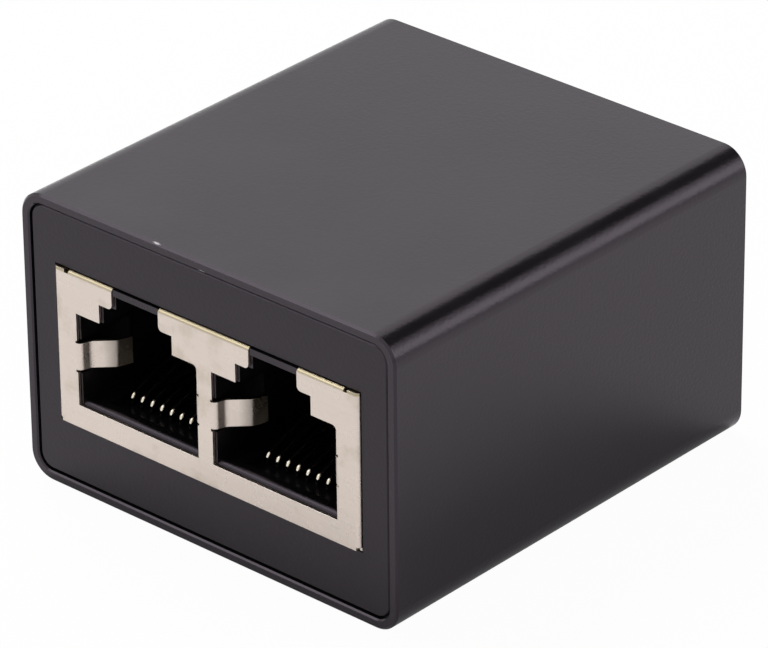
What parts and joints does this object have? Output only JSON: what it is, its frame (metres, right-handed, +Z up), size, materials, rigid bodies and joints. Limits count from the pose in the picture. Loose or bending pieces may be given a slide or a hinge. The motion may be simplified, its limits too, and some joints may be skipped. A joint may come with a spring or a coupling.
{
  "type": "ethernet splitter adapter",
  "caption": "Black box-shaped network splitter with shielded modular sockets side by side in one end and a socket in the other, wired through an inner board.",
  "frame": {"origin": "centre of the underside", "axes": "+Z up; -Y out of the end with two sockets; +Y out of the end with one socket; +X to the right of someone who looks at the two sockets"},
  "size_m": [0.0378, 0.0408, 0.0247],
  "materials": {
    "sleeve": "fine satin texture",
    "panel": "satin",
    "insulator": "satin",
    "shield": "satin tin plate",
    "contact": "gold plate",
    "board": "solder mask"
  },
  "bodies": {
    "root": {"housing_sleeve": "sleeve", "front_panel": "panel", "rear_panel": "panel", "circuit_board": "board", "front_jack_shield": "shield", "front_jack_housing": "insulator", "rear_jack_shield": "shield", "rear_jack_housing": "insulator", "front_left_contact_carrier": "insulator", "front_left_contact_1": "contact", "front_left_contact_2": "contact", "front_left_contact_3": "contact", "front_left_contact_4": "contact", "front_left_contact_5": "contact", "front_left_contact_6": "contact", "front_left_contact_7": "contact", "front_left_contact_8": "contact", "front_right_contact_carrier": "insulator", "front_right_contact_1": "contact", "front_right_contact_2": "contact", "front_right_contact_3": "contact", "front_right_contact_4": "contact", "front_right_contact_5": "contact", "front_right_contact_6": "contact", "front_right_contact_7": "contact", "front_right_contact_8": "contact", "rear_contact_carrier": "insulator", "rear_contact_1": "contact", "rear_contact_2": "contact", "rear_contact_3": "contact", "rear_contact_4": "contact", "rear_contact_5": "contact", "rear_contact_6": "contact", "rear_contact_7": "contact", "rear_contact_8": "contact"}
  },
  "joints": []
}
